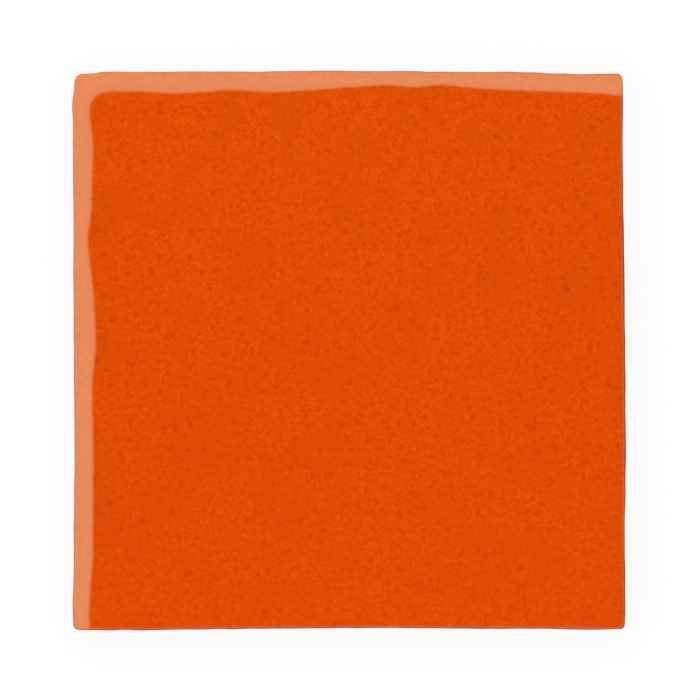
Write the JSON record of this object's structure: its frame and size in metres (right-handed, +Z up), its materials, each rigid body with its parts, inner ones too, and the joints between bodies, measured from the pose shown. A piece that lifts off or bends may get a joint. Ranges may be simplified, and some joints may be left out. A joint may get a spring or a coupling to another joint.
{
  "type": "ceramic tile",
  "caption": "Square glazed ceramic tile for an outer corner: two neighbouring edges rolled over and glazed, two plain butt edges, and a keyed back.",
  "frame": {"origin": "middle of the back, on the plane the tile rests on", "axes": "+Z up out of the glazed face; +Y towards the rolled upper edge; -X towards the rolled left edge; the butt edges face +X and -Y"},
  "size_m": [0.1512, 0.1528, 0.0095],
  "materials": {
    "glazed_ceramic": "gloss"
  },
  "bodies": {
    "root": {"glazed_tile": "glazed_ceramic"}
  },
  "joints": []
}
